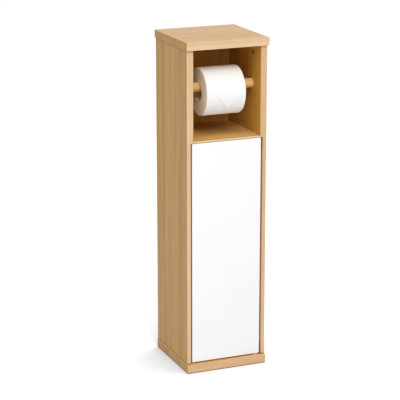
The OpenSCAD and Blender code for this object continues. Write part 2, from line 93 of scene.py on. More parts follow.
world = bpy.data.worlds.new("studio")
bpy.context.scene.world = world
world.use_nodes = True
sky = world.node_tree
sky.nodes.clear()
sky_out = sky.nodes.new("ShaderNodeOutputWorld")
sky_mix = sky.nodes.new("ShaderNodeMixShader")
sky_light = sky.nodes.new("ShaderNodeBackground")
sky_light.inputs["Color"].default_value = full_white
sky_light.inputs["Strength"].default_value = sky_strength
sky_seen = sky.nodes.new("ShaderNodeBackground")
sky_seen.inputs["Color"].default_value = full_white
sky_seen.inputs["Strength"].default_value = backdrop_strength
sky_rays = sky.nodes.new("ShaderNodeLightPath")
camera_or_gloss = sky.nodes.new("ShaderNodeMath")
camera_or_gloss.operation = "MAXIMUM"
any_seen = sky.nodes.new("ShaderNodeMath")
any_seen.operation = "MAXIMUM"
sky.links.new(sky_rays.outputs["Is Camera Ray"], camera_or_gloss.inputs[0])
sky.links.new(sky_rays.outputs["Is Glossy Ray"], camera_or_gloss.inputs[1])
sky.links.new(camera_or_gloss.outputs[0], any_seen.inputs[0])
sky.links.new(sky_rays.outputs["Is Transmission Ray"], any_seen.inputs[1])
sky.links.new(any_seen.outputs[0], sky_mix.inputs["Fac"])
sky.links.new(sky_light.outputs[0], sky_mix.inputs[1])
sky.links.new(sky_seen.outputs[0], sky_mix.inputs[2])
sky.links.new(sky_mix.outputs[0], sky_out.inputs["Surface"])

# A Mix node's colour sockets share their names with others, so they go by number.
first_colour, second_colour, mixed_colour = 6, 7, 2

# To the camera the floor is white, with a soft shade close to the cabinet that leans to its left.
bpy.ops.object.select_all(action="DESELECT")
bpy.ops.mesh.primitive_plane_add(size=floor_size, location=(0, 0, 0))
floor = bpy.context.object
floor.name = "floor"
floor_paint = bpy.data.materials.new("floor_paint")
floor_paint.use_nodes = True
tree = floor_paint.node_tree
tree.nodes.clear()
floor_out = tree.nodes.new("ShaderNodeOutputMaterial")
floor_matt = tree.nodes.new("ShaderNodeBsdfDiffuse")
floor_side = tree.nodes.new("ShaderNodeCombineXYZ")
for i, lean in enumerate(contact_side):
    floor_side.inputs[i].default_value = lean
floor_open = tree.nodes.new("ShaderNodeAmbientOcclusion")
floor_open.inputs["Distance"].default_value = contact_reach
floor_near = tree.nodes.new("ShaderNodeMapRange")
floor_near.inputs["From Min"].default_value = contact_closed
floor_near.inputs["From Max"].default_value = contact_open
floor_shown = tree.nodes.new("ShaderNodeMix")
floor_shown.data_type = "RGBA"
floor_shown.inputs[first_colour].default_value = contact_shade
floor_shown.inputs[second_colour].default_value = floor_seen
floor_tone = tree.nodes.new("ShaderNodeMix")
floor_tone.data_type = "RGBA"
floor_tone.inputs[first_colour].default_value = floor_grey
floor_rays = tree.nodes.new("ShaderNodeLightPath")
tree.links.new(floor_side.outputs[0], floor_open.inputs["Normal"])
tree.links.new(floor_open.outputs["AO"], floor_near.inputs["Value"])
tree.links.new(floor_near.outputs["Result"], floor_shown.inputs["Factor"])
tree.links.new(floor_shown.outputs[mixed_colour], floor_tone.inputs[second_colour])
tree.links.new(floor_rays.outputs["Is Camera Ray"], floor_tone.inputs["Factor"])
tree.links.new(floor_tone.outputs[mixed_colour], floor_matt.inputs["Color"])
tree.links.new(floor_matt.outputs[0], floor_out.inputs["Surface"])
floor.data.materials.append(floor_paint)

lamp_data = bpy.data.lights.new("soft_lamp", "AREA")
lamp_data.shape = "SQUARE"
lamp_data.size = lamp_size
lamp_data.energy = lamp_watts
lamp = bpy.data.objects.new("soft_lamp", lamp_data)
bpy.context.scene.collection.objects.link(lamp)
lamp.location = lamp_place
lamp.rotation_euler = (lamp_aim - lamp_place).to_track_quat("-Z", "Y").to_euler()


# ---- Boards ----
# The carcass is particle board wrapped in an oak-effect foil, with its front edges taped in a paler
# tone. The grain runs along each board: upright on the sides and the back, across on the others. Some
# faces get a painted copy of the foil or tape by the way they face: paler painted light on the top, the
# shelf tops, the front edges of the top and the left side, and the shelf lip; and a deeper painted shade
# on the faces inside, the base board and its front edge.
oak_outside = (0.613, 0.350, 0.133)
oak_foot_painted_shade = (0.586, 0.337, 0.139)
oak_top_painted_light = (0.752, 0.474, 0.258)
oak_inside_painted_shade = (0.700, 0.370, 0.072)
oak_shelf_painted_light = (0.860, 0.505, 0.170)
tape_lip_painted_light = (0.950, 0.720, 0.460)
tape_painted_light = (0.873, 0.610, 0.392)
tape_plain = (0.828, 0.540, 0.333)
tape_painted_shade = (0.789, 0.517, 0.293)
rebate_edge = 0.088
# The painted shade lines at the board joints and along the floor.
joint_shade = (0.140, 0.058, 0.014, 1.0)
joint_share = 0.95
joint_thin = 0.0019
joint_thick = 0.0038
foil_gloss = 0.2
foil_roughness = (0.42, 0.54)
foil_bump, foil_depth = 0.25, 0.0002
streak_rise = 0.4
wander_stretch = (5.0, 5.0, 3.0)
wander_reach = (0.022, 0.022, 0.0)
grain_shares = {
    "Pale": (1.0, 1.0, 1.0),
    "Dark": (0.72, 0.72, 0.63),
    "Green": (0.86, 0.87, 0.78),
    "Pore": (0.52, 0.45, 0.34),
}
# The layers of the oak pattern, each with its noise's stretch, detail and roughness, the noise at which
# it starts and at which it is full, its share, and the tone that it brings.
oak_layers = {
    "bands": ((38.0, 38.0, 0.9), 3.0, 0.65, 0.38, 0.64, 0.90, "Dark"),
    "patches": ((16.0, 16.0, 1.2), 1.0, 0.50, 0.36, 0.64, 0.60, "Green"),
    "streaks": ((310.0, 310.0, 3.5), 4.0, 0.62, 0.40, 0.74, 0.60, "Dark"),
    "lines": ((900.0, 900.0, 9.0), 2.0, 0.50, 0.30, 0.72, 0.16, "Pore"),
    "pores": ((1700.0, 1700.0, 62.0), 1.0, 0.50, 0.60, 0.70, 0.30, "Pore"),
}
noise_spread = (0.3, 0.7)
facing_spread = (0.35, 0.65)
forward, upward, downward = (0.0, -1.0, 0.0), (0.0, 0.0, 1.0), (0.0, 0.0, -1.0)
leftward, rightward, backward = (-1.0, 0.0, 0.0), (1.0, 0.0, 0.0), (0.0, 1.0, 0.0)


def group(name, inputs, outputs):
    """A new shader group with its sockets, and its input and output nodes."""
    tree = bpy.data.node_groups.new(name, "ShaderNodeTree")
    for socket, kind in inputs:
        tree.interface.new_socket(socket, in_out="INPUT", socket_type=kind)
    for socket, kind in outputs:
        tree.interface.new_socket(socket, in_out="OUTPUT", socket_type=kind)
    return tree, tree.nodes.new("NodeGroupInput"), tree.nodes.new("NodeGroupOutput")


def feed(tree, value, socket):
    """Gives a socket its value: a number, a colour, or what another socket puts out."""
    if isinstance(value, bpy.types.NodeSocket):
        tree.links.new(value, socket)
    else:
        socket.default_value = value


def stretched_noise(tree, place, size, detail=2.0, roughness=0.5):
    """Noise on a place that is stretched first, so that its spots become streaks."""
    stretch = tree.nodes.new("ShaderNodeVectorMath")
    stretch.operation = "MULTIPLY"
    feed(tree, size, stretch.inputs[1])
    noise = tree.nodes.new("ShaderNodeTexNoise")
    noise.inputs["Scale"].default_value = 1.0
    noise.inputs["Detail"].default_value = detail
    noise.inputs["Roughness"].default_value = roughness
    tree.links.new(place, stretch.inputs[0])
    tree.links.new(stretch.outputs[0], noise.inputs["Vector"])
    return noise.outputs["Fac"]


def between(tree, value, low, high, to_low=0.0, to_high=1.0):
    """Spreads the values from low to high over another range, with soft ends."""
    spread = tree.nodes.new("ShaderNodeMapRange")
    spread.interpolation_type = "SMOOTHSTEP"
    feed(tree, value, spread.inputs["Value"])
    feed(tree, low, spread.inputs["From Min"])
    feed(tree, high, spread.inputs["From Max"])
    feed(tree, to_low, spread.inputs["To Min"])
    feed(tree, to_high, spread.inputs["To Max"])
    return spread.outputs["Result"]


def blend_colour(tree, share, first, second):
    """Mixes two colours, each a value or a socket, by a share."""
    mix = tree.nodes.new("ShaderNodeMix")
    mix.data_type = "RGBA"
    feed(tree, share, mix.inputs["Factor"])
    feed(tree, first, mix.inputs[first_colour])
    feed(tree, second, mix.inputs[second_colour])
    return mix.outputs[mixed_colour]


def arithmetic(tree, operation, first, second=0.0):
    """One step of arithmetic on one or two numbers, each a value or a socket."""
    step = tree.nodes.new("ShaderNodeMath")
    step.operation = operation
    feed(tree, first, step.inputs[0])
    feed(tree, second, step.inputs[1])
    return step.outputs[0]


def along_way(tree, vector, way):
    """How far a vector goes one way."""
    share = tree.nodes.new("ShaderNodeVectorMath")
    share.operation = "DOT_PRODUCT"
    share.inputs[1].default_value = way
    tree.links.new(vector, share.inputs[0])
    return share.outputs["Value"]


def toned(colour, shares):
    """A colour with its red, green and blue each brought down to a share."""
    return tuple(c * s for c, s in zip(colour, shares)) + (1.0,)


def new_finish(name):
    """A new material, with its nodes, its surface and the coordinates of the piece that has it."""
    finish = bpy.data.materials.new(name)
    finish.use_nodes = True
    tree = finish.node_tree
    return finish, tree, tree.nodes["Principled BSDF"], tree.nodes.new("ShaderNodeTexCoord")


def laid(tree, where, turn, start=(0.0, 0.0, 0.0)):
    """The place on a piece, turned so that its Z runs along the grain, and moved to start."""
    lay = tree.nodes.new("ShaderNodeMapping")
    lay.inputs["Rotation"].default_value = turn
    lay.inputs["Location"].default_value = start
    tree.links.new(where.outputs["Object"], lay.inputs["Vector"])
    return lay.outputs["Vector"]


def patterned(tree, pattern, place, **values):
    """A pattern set in a material at a place, with its own values."""
    copy = tree.nodes.new("ShaderNodeGroup")
    copy.node_tree = pattern
    tree.links.new(place, copy.inputs["Place"])
    for socket, value in values.items():
        feed(tree, value, copy.inputs[socket])
    return copy


def raise_surface(tree, surface, height, strength, depth):
    """Gives a surface the relief of a height."""
    bump = tree.nodes.new("ShaderNodeBump")
    bump.inputs["Strength"].default_value = strength
    bump.inputs["Distance"].default_value = depth
    tree.links.new(height, bump.inputs["Height"])
    tree.links.new(bump.outputs["Normal"], surface.inputs["Normal"])


def finish_node(node, material):
    """Gives a CAD node its finish."""
    nodes[node].data.materials.clear()
    nodes[node].data.materials.append(material)


# The oak pattern. Its grain runs along Z: slow tone patches that wander, narrow bands, fine streaks and
# short pores.
oak, oak_in, oak_out = group(
    "oak_pattern",
    [("Place", "NodeSocketVector")] + [(tone_name, "NodeSocketColor") for tone_name in grain_shares],
    [("Color", "NodeSocketColor"), ("Height", "NodeSocketFloat"), ("Roughness", "NodeSocketFloat")],
)
wander_push = oak.nodes.new("ShaderNodeVectorMath")
wander_push.operation = "MULTIPLY_ADD"
wander_push.inputs[1].default_value = wander_reach
wander = stretched_noise(oak, oak_in.outputs["Place"], wander_stretch, detail=1.0)
oak.links.new(wander, wander_push.inputs[0])
oak.links.new(oak_in.outputs["Place"], wander_push.inputs[2])
noises, spots = {}, {}
tone = oak_in.outputs["Pale"]
for layer, (stretch, detail, roughness, start, full, share, tone_name) in oak_layers.items():
    noises[layer] = stretched_noise(oak, wander_push.outputs[0], stretch, detail, roughness)
    spots[layer] = between(oak, noises[layer], start, full)
    amount = arithmetic(oak, "MULTIPLY", spots[layer], share)
    tone = blend_colour(oak, amount, tone, oak_in.outputs[tone_name])
height = arithmetic(oak, "MULTIPLY", noises["streaks"], streak_rise)
gloss = between(oak, noises["streaks"], *noise_spread, *foil_roughness)
oak.links.new(tone, oak_out.inputs["Color"])
oak.links.new(arithmetic(oak, "SUBTRACT", height, spots["pores"]), oak_out.inputs["Height"])
oak.links.new(gloss, oak_out.inputs["Roughness"])

# A painted shade line along a joint, where shade falls between the boards and along the floor: darkest at
# the joint's height, and gone at its reach.
shade_line, shade_line_in, shade_line_out = group(
    "painted_joint_shade",
    [("Place", "NodeSocketVector"), ("Height", "NodeSocketFloat"), ("Reach", "NodeSocketFloat"),
     ("Color", "NodeSocketColor")],
    [("Color", "NodeSocketColor")],
)
level = along_way(shade_line, shade_line_in.outputs["Place"], upward)
off = arithmetic(shade_line, "SUBTRACT", level, shade_line_in.outputs["Height"])
off = arithmetic(shade_line, "ABSOLUTE", off)
dark = between(shade_line, off, 0.0, shade_line_in.outputs["Reach"], joint_share, 0.0)
tone = blend_colour(shade_line, dark, shade_line_in.outputs["Color"], joint_shade)
shade_line.links.new(tone, shade_line_out.inputs["Color"])


def faces_to(tree, where, way, beyond):
    """A mask of the faces that look one way and lie further than beyond from the cabinet's middle."""
    looks = between(tree, along_way(tree, where.outputs["Normal"], way), *facing_spread)
    if not beyond:
        return looks
    place = along_way(tree, where.outputs["Object"], tuple(-w for w in way))
    return arithmetic(tree, "MULTIPLY", looks, arithmetic(tree, "GREATER_THAN", place, beyond))


def board_foil(name, turn, start, main, others, joints):
    """The foil of one board. turn lays the grain along the board, start picks its part of the pattern,
    main is its colour, and others gives the faces that have another colour by the way they face, most of
    them painted light or shade. joints are the heights of its joints, where a painted shade line runs,
    and how far each one reaches."""
    foil, tree, surface, where = new_finish(name)
    surface.inputs["Specular IOR Level"].default_value = foil_gloss
    masks = [(faces_to(tree, where, way, beyond), colour) for way, beyond, colour in others]
    tones = {}
    for tone_name, shares in grain_shares.items():
        tones[tone_name] = toned(main, shares)
        for mask, other in masks:
            tones[tone_name] = blend_colour(tree, mask, tones[tone_name], toned(other, shares))
    pattern = patterned(tree, oak, laid(tree, where, turn, start), **tones)
    colour = pattern.outputs["Color"]
    for height, reach in joints:
        line = patterned(
            tree, shade_line, where.outputs["Object"], Height=height, Reach=reach, Color=colour
        )
        colour = line.outputs["Color"]
    tree.links.new(colour, surface.inputs["Base Color"])
    tree.links.new(pattern.outputs["Roughness"], surface.inputs["Roughness"])
    raise_surface(tree, surface, pattern.outputs["Height"], foil_bump, foil_depth)
    return foil


upright = (0.0, 0.0, 0.0)
across = (0.0, math.radians(90), 0.0)
panel_low, panel_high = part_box("left_side_panel")
foot_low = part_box("base_board")[0]
# The top, the shelf tops, the left front edges and the shelf lip take painted light here; the faces
# inside, the base board and its front take painted shade.
for node, turn, start, main, others, joints in (
    ("top_board", across, (0.13, 0.07, 0.31), oak_outside,
     ((upward, 0, oak_top_painted_light), (downward, 0, oak_inside_painted_shade), (forward, 0, tape_painted_light)), ()),
    ("base_board", across, (0.41, 0.22, 0.83), oak_foot_painted_shade,
     ((upward, 0, oak_shelf_painted_light), (forward, 0, tape_painted_shade)), ((foot_low.z, joint_thick),)),
    ("left_side_panel", upright, (0.27, 0.11, 0.05), oak_outside,
     ((forward, 0, tape_painted_light), (rightward, 0, oak_inside_painted_shade), (rightward, rebate_edge, tape_painted_light)),
     ((panel_low.z, joint_thick), (panel_high.z, joint_thin))),
    ("right_side_panel", upright, (0.63, 0.35, 0.57), oak_outside,
     ((forward, 0, tape_plain), (leftward, 0, oak_inside_painted_shade), (leftward, rebate_edge, tape_plain)),
     ((panel_low.z, joint_thick), (panel_high.z, joint_thin))),
    ("niche_shelf", across, (0.88, 0.52, 0.19), oak_inside_painted_shade,
     ((upward, 0, oak_shelf_painted_light), (forward, 0, tape_lip_painted_light)), ()),
    ("inner_shelf", across, (0.71, 0.93, 0.66), oak_inside_painted_shade, ((forward, 0, tape_plain),), ()),
    ("back_panel", upright, (0.36, 0.79, 0.44), oak_inside_painted_shade, ((backward, 0, oak_outside),), ()),
):
    finish_node(node, board_foil(node + "_foil", turn, start, main, others, joints))


# ---- Cam locks, cam bolts, dowels and shelf pegs ----
# The fittings that hold the boards together: die-cast cams with a browned finish turned onto steel
# bolts, with plain beech dowels beside them, and four plated steel pegs under the loose shelf.
browned_zinc = (0.130, 0.115, 0.100, 1.0)
plated_steel = (0.66, 0.67, 0.70, 1.0)
metal_dark = (0.72, 0.72, 0.72)
metal_uneven = 0.12
metal_bump = 1.0
beech_pale = (0.840, 0.565, 0.250, 1.0)
beech_dark = (0.720, 0.440, 0.170, 1.0)
beech_fleck = (0.520, 0.290, 0.095, 1.0)
ring_stretch, ring_spread = (150.0, 150.0, 3.0), (0.35, 0.68)
fleck_stretch, fleck_spread = (1100.0, 1100.0, 160.0), (0.62, 0.72)
fleck_share = 0.55
beech_bump, beech_depth = 0.3, 0.0001
dowel_roughness = 0.7

# The clouds of a cast or plated metal, which is a little uneven in tone and gloss.
cast, cast_in, cast_out = group(
    "metal_clouds",
    [("Place", "NodeSocketVector"), ("Speckle", "NodeSocketFloat"), ("Roughness", "NodeSocketFloat"),
     ("Dark", "NodeSocketColor"), ("Bright", "NodeSocketColor")],
    [("Color", "NodeSocketColor"), ("Roughness", "NodeSocketFloat"), ("Height", "NodeSocketFloat")],
)
clouds = stretched_noise(
    cast, cast_in.outputs["Place"], cast_in.outputs["Speckle"], detail=3.0, roughness=0.6
)
bright = between(cast, clouds, *noise_spread)
dullest = arithmetic(cast, "ADD", cast_in.outputs["Roughness"], metal_uneven)
dull = between(cast, clouds, *noise_spread, dullest, cast_in.outputs["Roughness"])
tone = blend_colour(cast, bright, cast_in.outputs["Dark"], cast_in.outputs["Bright"])
cast.links.new(tone, cast_out.inputs["Color"])
cast.links.new(dull, cast_out.inputs["Roughness"])
cast.links.new(clouds, cast_out.inputs["Height"])

# The beech pattern: pale wood with faint rings and small brown flecks along Z.
beech, beech_in, beech_out = group(
    "beech_pattern",
    [("Place", "NodeSocketVector")],
    [("Color", "NodeSocketColor"), ("Height", "NodeSocketFloat")],
)
rings = stretched_noise(beech, beech_in.outputs["Place"], ring_stretch, detail=3.0)
flecks = stretched_noise(beech, beech_in.outputs["Place"], fleck_stretch, detail=1.0)
flecks = between(beech, flecks, *fleck_spread)
tone = blend_colour(beech, between(beech, rings, *ring_spread), beech_pale, beech_dark)
tone = blend_colour(beech, arithmetic(beech, "MULTIPLY", flecks, fleck_share), tone, beech_fleck)
beech.links.new(tone, beech_out.inputs["Color"])
beech.links.new(flecks, beech_out.inputs["Height"])


def metal_finish(name, colour, roughness, speckle, depth):
    """A cast or plated metal, with the size of its speckles and their depth."""
    metal, tree, surface, where = new_finish(name)
    surface.inputs["Metallic"].default_value = 1.0
    pattern = patterned(
        tree, cast, where.outputs["Object"],
        Speckle=speckle, Roughness=roughness, Dark=toned(colour, metal_dark), Bright=colour,
    )
    tree.links.new(pattern.outputs["Color"], surface.inputs["Base Color"])
    tree.links.new(pattern.outputs["Roughness"], surface.inputs["Roughness"])
    raise_surface(tree, surface, pattern.outputs["Height"], metal_bump, depth)
    return metal


def beech_finish(name, turn, roughness):
    """Turned beech, with its grain laid along the piece."""
    wood, tree, surface, where = new_finish(name)
    surface.inputs["Roughness"].default_value = roughness
    pattern = patterned(tree, beech, laid(tree, where, turn))
    tree.links.new(pattern.outputs["Color"], surface.inputs["Base Color"])
    raise_surface(tree, surface, pattern.outputs["Height"], beech_bump, beech_depth)
    return wood


browned = metal_finish("browned_zinc", browned_zinc, roughness=0.42, speckle=900.0, depth=0.00012)
plated = metal_finish("plated_steel", plated_steel, roughness=0.26, speckle=500.0, depth=0.00005)
finish_node("cam_locks", browned)
finish_node("cam_bolts", plated)
finish_node("shelf_pegs", plated)
finish_node("wooden_dowels", beech_finish("dowel_beech", upright, dowel_roughness))


# ---- Pivot hinges ----
# Two steel angle plates with a yellow zinc finish are let flush into the boards round the door's right
# edge and hold a pin each. The pins turn in nylon bushes pressed into the door's top and bottom edges.
yellow_zinc = (0.800, 0.580, 0.330, 1.0)
nylon_white = (0.80, 0.80, 0.76, 1.0)
plastic_dark = (0.93, 0.93, 0.93)
plastic_uneven = 0.1
plastic_bump, plastic_depth = 0.3, 0.00006
mould_stretch = (2200.0, 2200.0, 2200.0)
milky_stretch = (60.0, 60.0, 60.0)

# The fine grain that a mould leaves on plastic, and the plastic's own slow clouds.
mould, mould_in, mould_out = group(
    "mould_grain",
    [("Place", "NodeSocketVector"), ("Roughness", "NodeSocketFloat"), ("Dark", "NodeSocketColor"),
     ("Bright", "NodeSocketColor")],
    [("Color", "NodeSocketColor"), ("Roughness", "NodeSocketFloat"), ("Height", "NodeSocketFloat")],
)
grain = stretched_noise(mould, mould_in.outputs["Place"], mould_stretch)
clouds = stretched_noise(mould, mould_in.outputs["Place"], milky_stretch)
dullest = arithmetic(mould, "ADD", mould_in.outputs["Roughness"], plastic_uneven)
dull = between(mould, grain, *noise_spread, mould_in.outputs["Roughness"], dullest)
tone = blend_colour(mould, clouds, mould_in.outputs["Dark"], mould_in.outputs["Bright"])
mould.links.new(tone, mould_out.inputs["Color"])
mould.links.new(dull, mould_out.inputs["Roughness"])
mould.links.new(grain, mould_out.inputs["Height"])


def plastic_finish(name, colour, roughness):
    """Moulded plastic, dullest where its grain is highest."""
    plastic, tree, surface, where = new_finish(name)
    pattern = patterned(
        tree, mould, where.outputs["Object"],
        Roughness=roughness, Dark=toned(colour, plastic_dark), Bright=colour,
    )
    tree.links.new(pattern.outputs["Color"], surface.inputs["Base Color"])
    tree.links.new(pattern.outputs["Roughness"], surface.inputs["Roughness"])
    raise_surface(tree, surface, pattern.outputs["Height"], plastic_bump, plastic_depth)
    return plastic


yellowed = metal_finish("yellow_zinc", yellow_zinc, roughness=0.48, speckle=500.0, depth=0.00005)
for node in ("upper_hinge_plate", "lower_hinge_plate", "hinge_pins", "hinge_screws"):
    finish_node(node, yellowed)
nylon = plastic_finish("nylon", nylon_white, roughness=0.45)
finish_node("upper_hinge_bush", nylon)
finish_node("lower_hinge_bush", nylon)


# ---- Push latch ----
# A white plastic housing screwed to the left side holds a sprung plunger. The magnet in its tip keeps
# hold of the strike plate on the door until the door is pressed and let go.
housing_white = (0.84, 0.84, 0.83, 1.0)
plunger_grey = (0.72, 0.73, 0.74, 1.0)
magnet_grey = (0.50, 0.50, 0.52, 1.0)
finish_node("latch_housing", plastic_finish("latch_plastic", housing_white, roughness=0.42))
finish_node("latch_plunger", plastic_finish("plunger_plastic", plunger_grey, roughness=0.38))
for node in ("latch_spring", "latch_screws", "strike_plate", "strike_screw"):
    finish_node(node, plated)
magnet_plated = metal_finish(
    "magnet_plating", magnet_grey, roughness=0.22, speckle=700.0, depth=0.00003
)
finish_node("plunger_magnet", magnet_plated)


# ---- Door ----
# One board with a smooth white lacquer on its two faces and the carcass's oak tape round its edges. It
# has no handle: it opens when it is pressed.
door_white = (0.915, 0.915, 0.910, 1.0)
door_shade = (0.890, 0.892, 0.892, 1.0)
door_roughness = (0.32, 0.40)
door_bump, door_depth = 0.15, 0.00008
coat_share = 0.25
coat_roughness = 0.12
cloud_stretch, cloud_spread = (7.0, 7.0, 3.0), (0.35, 0.70)
ripple_stretch = (420.0, 420.0, 420.0)
edge_tones = {tone_name: toned(tape_plain, shares) for tone_name, shares in grain_shares.items()}

lacquer, tree, surface, where = new_finish("white_lacquer")
surface.inputs["Coat Weight"].default_value = coat_share
surface.inputs["Coat Roughness"].default_value = coat_roughness
clouds = stretched_noise(tree, where.outputs["Object"], cloud_stretch)
ripple = stretched_noise(tree, where.outputs["Object"], ripple_stretch, detail=1.0)
edging = patterned(tree, oak, where.outputs["Object"], **edge_tones)
face_on = arithmetic(tree, "ABSOLUTE", along_way(tree, where.outputs["Normal"], forward))
is_face = between(tree, face_on, *facing_spread)
white = blend_colour(tree, between(tree, clouds, *cloud_spread), door_white, door_shade)
colour = blend_colour(tree, is_face, edging.outputs["Color"], white)
dull = between(tree, clouds, *noise_spread, *door_roughness)
tree.links.new(colour, surface.inputs["Base Color"])
tree.links.new(dull, surface.inputs["Roughness"])
raise_surface(tree, surface, ripple, door_bump, door_depth)
finish_node("door_panel", lacquer)


# ---- Roll rod ----
# A turned beech rod with a clear satin lacquer. Its ends lie in blind round sockets in the side panels,
# and it slides to the right to free its left end when a new roll goes on.
rod_roughness = 0.38
finish_node("roll_rod", beech_finish("rod_beech", across, rod_roughness))


# ---- Cardboard core ----
# A tube of grey-brown card that hangs loose on the rod. It is wound on the slant from glued strips,
# which leaves a faint spiral seam.
card_pale = (0.820, 0.625, 0.410, 1.0)
card_dark = (0.670, 0.495, 0.305, 1.0)
card_roughness = 0.9
card_gloss = 0.15
card_bump, card_depth = 0.5, 0.0002
card_stretch = (900.0, 900.0, 900.0)
fibre_rise = 0.4
seam_pitch = 0.055
seam_width = 0.035
seam_share = 0.6

core_low, core_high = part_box("roll_core")
axis = (core_low + core_high) / 2
core_r = (core_high.z - core_low.z) / 2

# A point's place along the roll, its angle round it and its distance from its axis.
round_roll, round_in, round_out = group(
    "round_the_roll",
    [("Place", "NodeSocketVector")],
    [("Along", "NodeSocketFloat"), ("Angle", "NodeSocketFloat"), ("Away", "NodeSocketFloat")],
)
centre = round_roll.nodes.new("ShaderNodeMapping")
centre.inputs["Location"].default_value = -axis
parts = round_roll.nodes.new("ShaderNodeSeparateXYZ")
round_roll.links.new(round_in.outputs["Place"], centre.inputs["Vector"])
round_roll.links.new(centre.outputs["Vector"], parts.inputs[0])
back_part, up_part = parts.outputs["Y"], parts.outputs["Z"]
squares = arithmetic(
    round_roll, "ADD",
    arithmetic(round_roll, "MULTIPLY", back_part, back_part),
    arithmetic(round_roll, "MULTIPLY", up_part, up_part),
)
round_roll.links.new(parts.outputs["X"], round_out.inputs["Along"])
round_roll.links.new(arithmetic(round_roll, "ARCTAN2", up_part, back_part), round_out.inputs["Angle"])
round_roll.links.new(arithmetic(round_roll, "SQRT", squares), round_out.inputs["Away"])

card, tree, surface, where = new_finish("core_card")
surface.inputs["Roughness"].default_value = card_roughness
surface.inputs["Specular IOR Level"].default_value = card_gloss
place = patterned(tree, round_roll, where.outputs["Object"])
fibres = stretched_noise(tree, where.outputs["Object"], card_stretch, detail=4.0, roughness=0.7)
pitches = arithmetic(tree, "DIVIDE", place.outputs["Along"], seam_pitch)
turns = arithmetic(tree, "DIVIDE", place.outputs["Angle"], 2 * math.pi)
turns = arithmetic(tree, "ADD", pitches, turns)
seam = between(tree, arithmetic(tree, "FRACT", turns), 0.0, seam_width, 1.0, 0.0)
colour = blend_colour(tree, between(tree, fibres, *noise_spread), card_pale, card_dark)
colour = blend_colour(tree, arithmetic(tree, "MULTIPLY", seam, seam_share), colour, card_dark)
height = arithmetic(tree, "SUBTRACT", arithmetic(tree, "MULTIPLY", fibres, fibre_rise), seam)
tree.links.new(colour, surface.inputs["Base Color"])
raise_surface(tree, surface, height, card_bump, card_depth)
finish_node("roll_core", card)


# ---- Paper roll ----
# Soft white tissue wound on the core. Its turns show at the ends as fine uneven rings, the rims are
# rounded by handling, and the loose end hangs over the front with its corners folded in to a point.
paper_low, paper_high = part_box("paper_roll")
roll_r = paper_high.y - axis.y
roll_w = paper_high.x - paper_low.x
round_steps = 144
length_cuts = 28
ring_seed = 7
ring_step = 0.0026
ring_relief = 0.00035
rim_round = 0.0022
rim_steps = 4
lump_size = 0.030
lump_height = 0.0009
smooth_angle = math.radians(40)
hair = 1e-5
flat_on = 0.999


def pick(piece, mode, wanted):
    """In edit mode, selects the faces or edges that pass a test on their place and normal."""
    bpy.ops.mesh.select_mode(type=mode)
    bpy.ops.mesh.select_all(action="DESELECT")
    mesh = bmesh.from_edit_mesh(piece.data)
    parts = mesh.faces if mode == "FACE" else mesh.edges
    for part in parts:
        part.select_set(wanted(part))
    bmesh.update_edit_mesh(piece.data)


def from_axis(point):
    """A point's distance from the roll's axis."""
    return math.hypot(point.y - axis.y, point.z - axis.z)


random.seed(ring_seed)
bpy.ops.object.select_all(action="DESELECT")
bpy.ops.mesh.primitive_cylinder_add(
    vertices=round_steps, radius=roll_r, depth=roll_w, end_fill_type="NGON",
    location=axis, rotation=(0, math.radians(90), 0),
)
wound = bpy.context.object
wound.name = "wound_tissue"
bpy.ops.object.transform_apply(location=True, rotation=True, scale=True)
bpy.ops.object.mode_set(mode="EDIT")
pick(wound, "EDGE", lambda edge: abs(edge.verts[0].co.x - edge.verts[1].co.x) > roll_w / 2)
bpy.ops.mesh.subdivide(number_cuts=length_cuts)
pick(wound, "EDGE", lambda edge: all(abs(v.co.x - axis.x) > roll_w / 2 - hair for v in edge.verts))
bpy.ops.mesh.bevel(offset=rim_round, segments=rim_steps, profile=0.5, affect="EDGES")
pick(wound, "FACE", lambda face: abs(face.normal.x) > flat_on)
rings = int((roll_r - rim_round - core_r) / ring_step)
last_ring = roll_r - rim_round - core_r - (rings - 1) * ring_step
sunk = 0.0
for i in range(rings):
    target = random.uniform(-ring_relief, 0.0)
    width = last_ring if i == rings - 1 else ring_step
    bpy.ops.mesh.inset(thickness=width, depth=target - sunk)
    sunk = target
bpy.ops.mesh.delete(type="ONLY_FACE")
pick(wound, "EDGE", lambda edge: edge.is_boundary)
bpy.ops.mesh.bridge_edge_loops()
bpy.ops.mesh.select_all(action="SELECT")
bpy.ops.mesh.normals_make_consistent(inside=False)
pick(wound, "EDGE", lambda edge: all(from_axis(v.co) > roll_r - 2 * rim_round for v in edge.verts))
bpy.ops.object.vertex_group_assign_new()
bpy.ops.object.mode_set(mode="OBJECT")
lumps = bpy.data.textures.new("soft_lumps", "CLOUDS")
lumps.noise_scale = lump_size


def soften(piece, group_name=""):
    """Gives the outside of the roll the slight lumps of soft paper."""
    dents = piece.modifiers.new("dents", "DISPLACE")
    dents.texture = lumps
    dents.texture_coords = "LOCAL"
    dents.strength = lump_height
    dents.mid_level = 1.0
    dents.vertex_group = group_name
    bpy.ops.object.modifier_apply(modifier=dents.name)


soften(wound, wound.vertex_groups[0].name)
bpy.ops.object.shade_smooth_by_angle(angle=smooth_angle)

# The loose end: a sheet spun tight round the roll from the back over the top to the front. Two cuts give
# the folded point, which puffs up along its two folds, most on the left one, and curls off the roll at
# its tip.
sheet_thick = 0.00028
sheet_gap = 0.00005
sheet_r = roll_r + sheet_gap + sheet_thick / 2
sheet_cuts = 84
strip_turn = math.radians(2)
strip = strip_turn * roll_r
back_turn, back_steps = math.radians(70), 30
front_turn, front_steps = math.radians(132), 66
tip_right = 0.005
tip_drop = 0.032
tip = Vector((axis.x + tip_right, 0, axis.z - tip_drop))
tip_angle = math.asin(tip_drop / sheet_r)
tip_lift = 0.0018
lift_length = 0.026
fold_slope = math.radians(45)
fold_puff = 0.0011
fold_width = 0.007
fold_length = 0.055
fold_calm = 0.7


def fading(distance, length):
    """One at no distance, and down to nothing at a length."""
    return max(0.0, 1 - distance / length)


